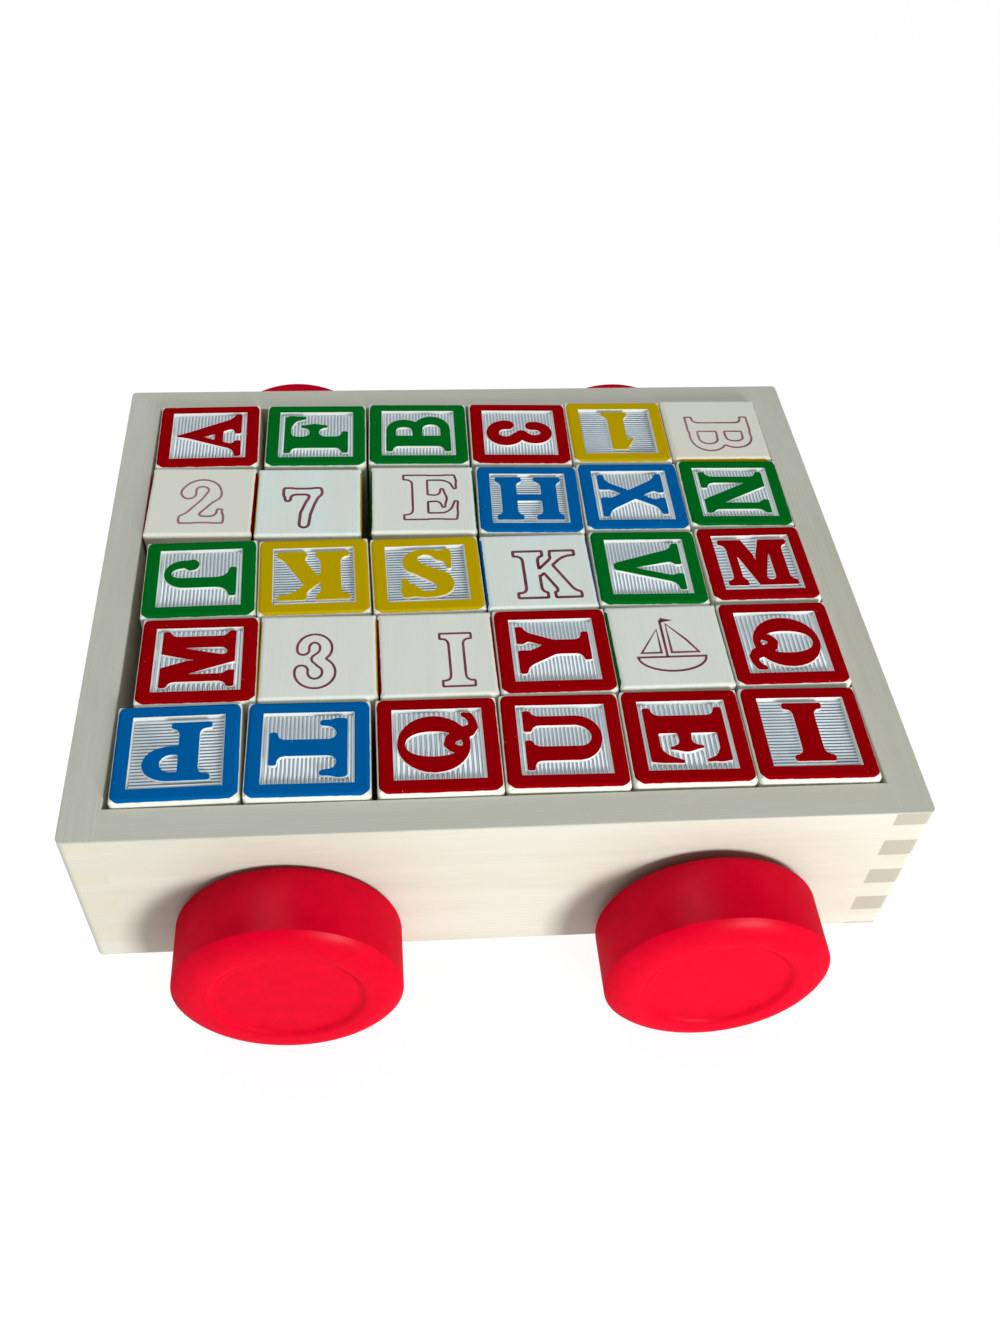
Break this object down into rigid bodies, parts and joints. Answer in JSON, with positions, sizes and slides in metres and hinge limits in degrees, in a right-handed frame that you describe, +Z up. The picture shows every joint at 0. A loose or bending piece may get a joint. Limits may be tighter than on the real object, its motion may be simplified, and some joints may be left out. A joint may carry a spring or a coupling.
{
  "type": "alphabet block cart",
  "caption": "Wooden alphabet blocks with sunk letter squares, packed in a finger-jointed tray that rolls on turned red wheels.",
  "frame": {"origin": "on the ground under the middle of the cart", "axes": "+Z up, +X along the way the cart rolls, +Y along the axles towards the back row of blocks"},
  "size_m": [0.259, 0.277, 0.0868],
  "materials": {
    "tray_wood": "smooth sanded, clear satin",
    "plywood": "sanded",
    "dowel_wood": "sanded",
    "red_enamelled_wood": "satin enamel",
    "blue_painted_block": "satin paint on bare wood",
    "red_painted_block": "satin paint on bare wood",
    "green_painted_block": "satin paint on bare wood",
    "yellow_painted_block": "satin paint on bare wood",
    "printed_block": "bare sanded wood with outline print"
  },
  "bodies": {
    "tray": {"front_wall": "tray_wood", "back_wall": "tray_wood", "left_wall": "tray_wood", "right_wall": "tray_wood", "floor_panel": "plywood"},
    "left_wheelset": {"left_axle": "dowel_wood", "front_left_wheel": "red_enamelled_wood", "back_left_wheel": "red_enamelled_wood"},
    "right_wheelset": {"right_axle": "dowel_wood", "front_right_wheel": "red_enamelled_wood", "back_right_wheel": "red_enamelled_wood"},
    "front_row_block_1": {"front_row_block_1": "blue_painted_block"},
    "front_row_block_2": {"front_row_block_2": "blue_painted_block"},
    "front_row_block_3": {"front_row_block_3": "red_painted_block"},
    "front_row_block_4": {"front_row_block_4": "red_painted_block"},
    "front_row_block_5": {"front_row_block_5": "red_painted_block"},
    "front_row_block_6": {"front_row_block_6": "red_painted_block"},
    "second_row_block_1": {"second_row_block_1": "red_painted_block"},
    "second_row_block_2": {"second_row_block_2": "printed_block"},
    "second_row_block_3": {"second_row_block_3": "printed_block"},
    "second_row_block_4": {"second_row_block_4": "red_painted_block"},
    "second_row_block_5": {"second_row_block_5": "printed_block"},
    "second_row_block_6": {"second_row_block_6": "red_painted_block"},
    "middle_row_block_1": {"middle_row_block_1": "green_painted_block"},
    "middle_row_block_2": {"middle_row_block_2": "yellow_painted_block"},
    "middle_row_block_3": {"middle_row_block_3": "yellow_painted_block"},
    "middle_row_block_4": {"middle_row_block_4": "printed_block"},
    "middle_row_block_5": {"middle_row_block_5": "green_painted_block"},
    "middle_row_block_6": {"middle_row_block_6": "red_painted_block"},
    "fourth_row_block_1": {"fourth_row_block_1": "printed_block"},
    "fourth_row_block_2": {"fourth_row_block_2": "printed_block"},
    "fourth_row_block_3": {"fourth_row_block_3": "printed_block"},
    "fourth_row_block_4": {"fourth_row_block_4": "blue_painted_block"},
    "fourth_row_block_5": {"fourth_row_block_5": "blue_painted_block"},
    "fourth_row_block_6": {"fourth_row_block_6": "green_painted_block"},
    "back_row_block_1": {"back_row_block_1": "red_painted_block"},
    "back_row_block_2": {"back_row_block_2": "green_painted_block"},
    "back_row_block_3": {"back_row_block_3": "green_painted_block"},
    "back_row_block_4": {"back_row_block_4": "red_painted_block"},
    "back_row_block_5": {"back_row_block_5": "yellow_painted_block"},
    "back_row_block_6": {"back_row_block_6": "printed_block"}
  },
  "joints": [
    {"name": "left_wheelset_spin", "type": "hinge", "parent": "tray", "child": "left_wheelset", "pos_m": [-0.0667, 0, 0.0355], "axis": [0, 1, 0], "continuous": true},
    {"name": "right_wheelset_spin", "type": "hinge", "parent": "tray", "child": "right_wheelset", "pos_m": [0.0667, 0, 0.0355], "axis": [0, 1, 0], "continuous": true},
    {"name": "front_row_block_1_lift", "type": "slide", "parent": "tray", "child": "front_row_block_1", "axis": [0, 0, 1], "range_m": [0, 0.05]},
    {"name": "front_row_block_2_lift", "type": "slide", "parent": "tray", "child": "front_row_block_2", "axis": [0, 0, 1], "range_m": [0, 0.05]},
    {"name": "front_row_block_3_lift", "type": "slide", "parent": "tray", "child": "front_row_block_3", "axis": [0, 0, 1], "range_m": [0, 0.05]},
    {"name": "front_row_block_4_lift", "type": "slide", "parent": "tray", "child": "front_row_block_4", "axis": [0, 0, 1], "range_m": [0, 0.05]},
    {"name": "front_row_block_5_lift", "type": "slide", "parent": "tray", "child": "front_row_block_5", "axis": [0, 0, 1], "range_m": [0, 0.05]},
    {"name": "front_row_block_6_lift", "type": "slide", "parent": "tray", "child": "front_row_block_6", "axis": [0, 0, 1], "range_m": [0, 0.05]},
    {"name": "second_row_block_1_lift", "type": "slide", "parent": "tray", "child": "second_row_block_1", "axis": [0, 0, 1], "range_m": [0, 0.05]},
    {"name": "second_row_block_2_lift", "type": "slide", "parent": "tray", "child": "second_row_block_2", "axis": [0, 0, 1], "range_m": [0, 0.05]},
    {"name": "second_row_block_3_lift", "type": "slide", "parent": "tray", "child": "second_row_block_3", "axis": [0, 0, 1], "range_m": [0, 0.05]},
    {"name": "second_row_block_4_lift", "type": "slide", "parent": "tray", "child": "second_row_block_4", "axis": [0, 0, 1], "range_m": [0, 0.05]},
    {"name": "second_row_block_5_lift", "type": "slide", "parent": "tray", "child": "second_row_block_5", "axis": [0, 0, 1], "range_m": [0, 0.05]},
    {"name": "second_row_block_6_lift", "type": "slide", "parent": "tray", "child": "second_row_block_6", "axis": [0, 0, 1], "range_m": [0, 0.05]},
    {"name": "middle_row_block_1_lift", "type": "slide", "parent": "tray", "child": "middle_row_block_1", "axis": [0, 0, 1], "range_m": [0, 0.05]},
    {"name": "middle_row_block_2_lift", "type": "slide", "parent": "tray", "child": "middle_row_block_2", "axis": [0, 0, 1], "range_m": [0, 0.05]},
    {"name": "middle_row_block_3_lift", "type": "slide", "parent": "tray", "child": "middle_row_block_3", "axis": [0, 0, 1], "range_m": [0, 0.05]},
    {"name": "middle_row_block_4_lift", "type": "slide", "parent": "tray", "child": "middle_row_block_4", "axis": [0, 0, 1], "range_m": [0, 0.05]},
    {"name": "middle_row_block_5_lift", "type": "slide", "parent": "tray", "child": "middle_row_block_5", "axis": [0, 0, 1], "range_m": [0, 0.05]},
    {"name": "middle_row_block_6_lift", "type": "slide", "parent": "tray", "child": "middle_row_block_6", "axis": [0, 0, 1], "range_m": [0, 0.05]},
    {"name": "fourth_row_block_1_lift", "type": "slide", "parent": "tray", "child": "fourth_row_block_1", "axis": [0, 0, 1], "range_m": [0, 0.05]},
    {"name": "fourth_row_block_2_lift", "type": "slide", "parent": "tray", "child": "fourth_row_block_2", "axis": [0, 0, 1], "range_m": [0, 0.05]},
    {"name": "fourth_row_block_3_lift", "type": "slide", "parent": "tray", "child": "fourth_row_block_3", "axis": [0, 0, 1], "range_m": [0, 0.05]},
    {"name": "fourth_row_block_4_lift", "type": "slide", "parent": "tray", "child": "fourth_row_block_4", "axis": [0, 0, 1], "range_m": [0, 0.05]},
    {"name": "fourth_row_block_5_lift", "type": "slide", "parent": "tray", "child": "fourth_row_block_5", "axis": [0, 0, 1], "range_m": [0, 0.05]},
    {"name": "fourth_row_block_6_lift", "type": "slide", "parent": "tray", "child": "fourth_row_block_6", "axis": [0, 0, 1], "range_m": [0, 0.05]},
    {"name": "back_row_block_1_lift", "type": "slide", "parent": "tray", "child": "back_row_block_1", "axis": [0, 0, 1], "range_m": [0, 0.05]},
    {"name": "back_row_block_2_lift", "type": "slide", "parent": "tray", "child": "back_row_block_2", "axis": [0, 0, 1], "range_m": [0, 0.05]},
    {"name": "back_row_block_3_lift", "type": "slide", "parent": "tray", "child": "back_row_block_3", "axis": [0, 0, 1], "range_m": [0, 0.05]},
    {"name": "back_row_block_4_lift", "type": "slide", "parent": "tray", "child": "back_row_block_4", "axis": [0, 0, 1], "range_m": [0, 0.05]},
    {"name": "back_row_block_5_lift", "type": "slide", "parent": "tray", "child": "back_row_block_5", "axis": [0, 0, 1], "range_m": [0, 0.05]},
    {"name": "back_row_block_6_lift", "type": "slide", "parent": "tray", "child": "back_row_block_6", "axis": [0, 0, 1], "range_m": [0, 0.05]}
  ]
}
